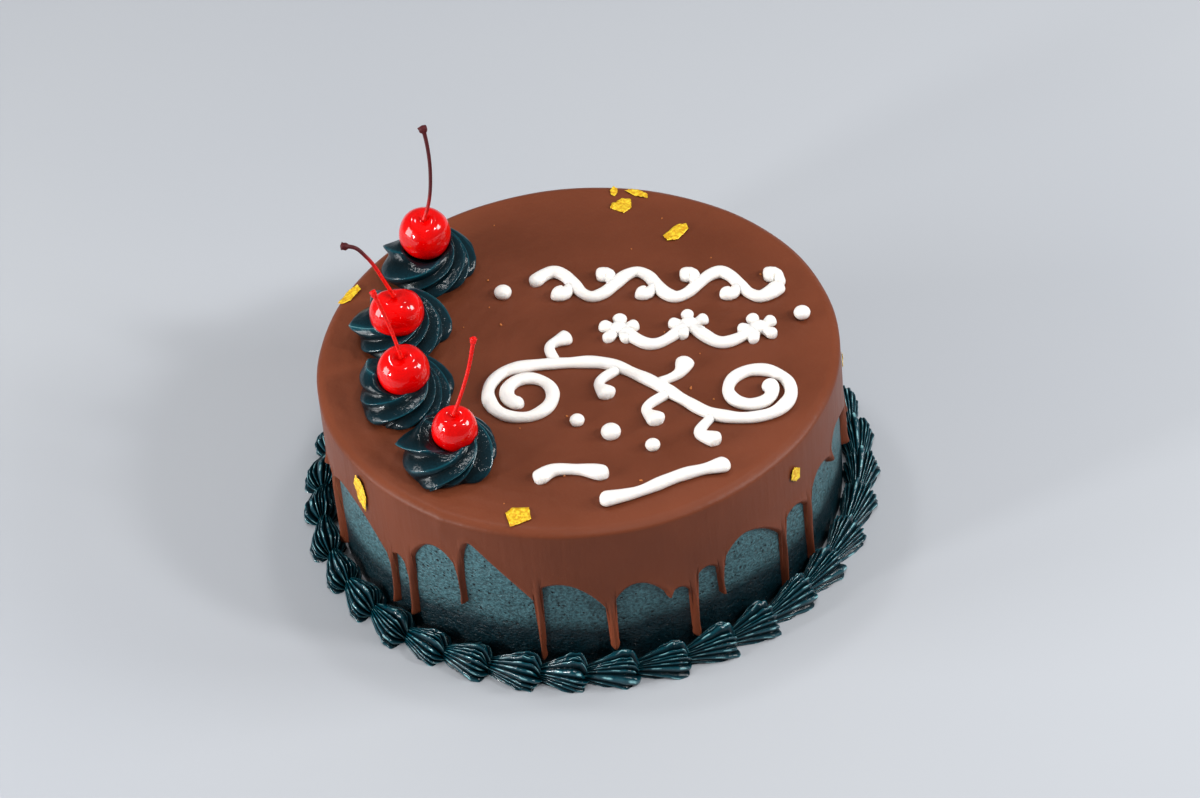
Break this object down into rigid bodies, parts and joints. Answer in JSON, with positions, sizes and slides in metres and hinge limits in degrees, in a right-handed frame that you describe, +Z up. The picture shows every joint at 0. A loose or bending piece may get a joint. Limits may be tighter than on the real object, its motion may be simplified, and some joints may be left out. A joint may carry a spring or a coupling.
{
  "type": "drip cake",
  "caption": "Round frosted cake under a chocolate drip coat, with cherries on piped rosettes, a shell border, gold leaf and white piped scrolls.",
  "frame": {"origin": "centre of the cake's base, on the surface that it stands on", "axes": "+Z up, -Y towards the front of the cake, +X to the right"},
  "size_m": [0.2373, 0.2373, 0.1423],
  "materials": {
    "frosting": "smooth dark teal buttercream with fine pits, satin",
    "chocolate": "poured milk chocolate, satin, with scraps of gold leaf",
    "dark_buttercream": "piped petrol-dark buttercream, moist sheen",
    "cherry": "syrup-glazed cherry skin, very glossy",
    "cherry_stem": "dyed cherry stalk, satin",
    "white_icing": "white piped icing, soft sheen"
  },
  "bodies": {
    "root": {"cake": "frosting", "chocolate": "chocolate", "rosette_1": "dark_buttercream", "cherry_1": "cherry", "cherry_stem_1": "cherry_stem", "rosette_2": "dark_buttercream", "cherry_2": "cherry", "cherry_stem_2": "cherry_stem", "rosette_3": "dark_buttercream", "cherry_3": "cherry", "cherry_stem_3": "cherry_stem", "rosette_4": "dark_buttercream", "cherry_4": "cherry", "cherry_stem_4": "cherry_stem", "shell_01": "dark_buttercream", "shell_02": "dark_buttercream", "shell_03": "dark_buttercream", "shell_04": "dark_buttercream", "shell_05": "dark_buttercream", "shell_06": "dark_buttercream", "shell_07": "dark_buttercream", "shell_08": "dark_buttercream", "shell_09": "dark_buttercream", "shell_10": "dark_buttercream", "shell_11": "dark_buttercream", "shell_12": "dark_buttercream", "shell_13": "dark_buttercream", "shell_14": "dark_buttercream", "shell_15": "dark_buttercream", "shell_16": "dark_buttercream", "shell_17": "dark_buttercream", "shell_18": "dark_buttercream", "shell_19": "dark_buttercream", "shell_20": "dark_buttercream", "shell_21": "dark_buttercream", "shell_22": "dark_buttercream", "shell_23": "dark_buttercream", "shell_24": "dark_buttercream", "shell_25": "dark_buttercream", "shell_26": "dark_buttercream", "shell_27": "dark_buttercream", "shell_28": "dark_buttercream", "shell_29": "dark_buttercream", "shell_30": "dark_buttercream", "shell_31": "dark_buttercream", "shell_32": "dark_buttercream", "shell_33": "dark_buttercream", "shell_34": "dark_buttercream", "shell_35": "dark_buttercream", "piped_vine": "white_icing", "piped_scroll": "white_icing", "piped_garland": "white_icing", "piped_line_long": "white_icing", "piped_line_short": "white_icing", "piped_pearl_1": "white_icing", "piped_pearl_2": "white_icing", "piped_pearl_3": "white_icing", "piped_pearl_4": "white_icing", "piped_pearl_5": "white_icing"}
  },
  "joints": []
}
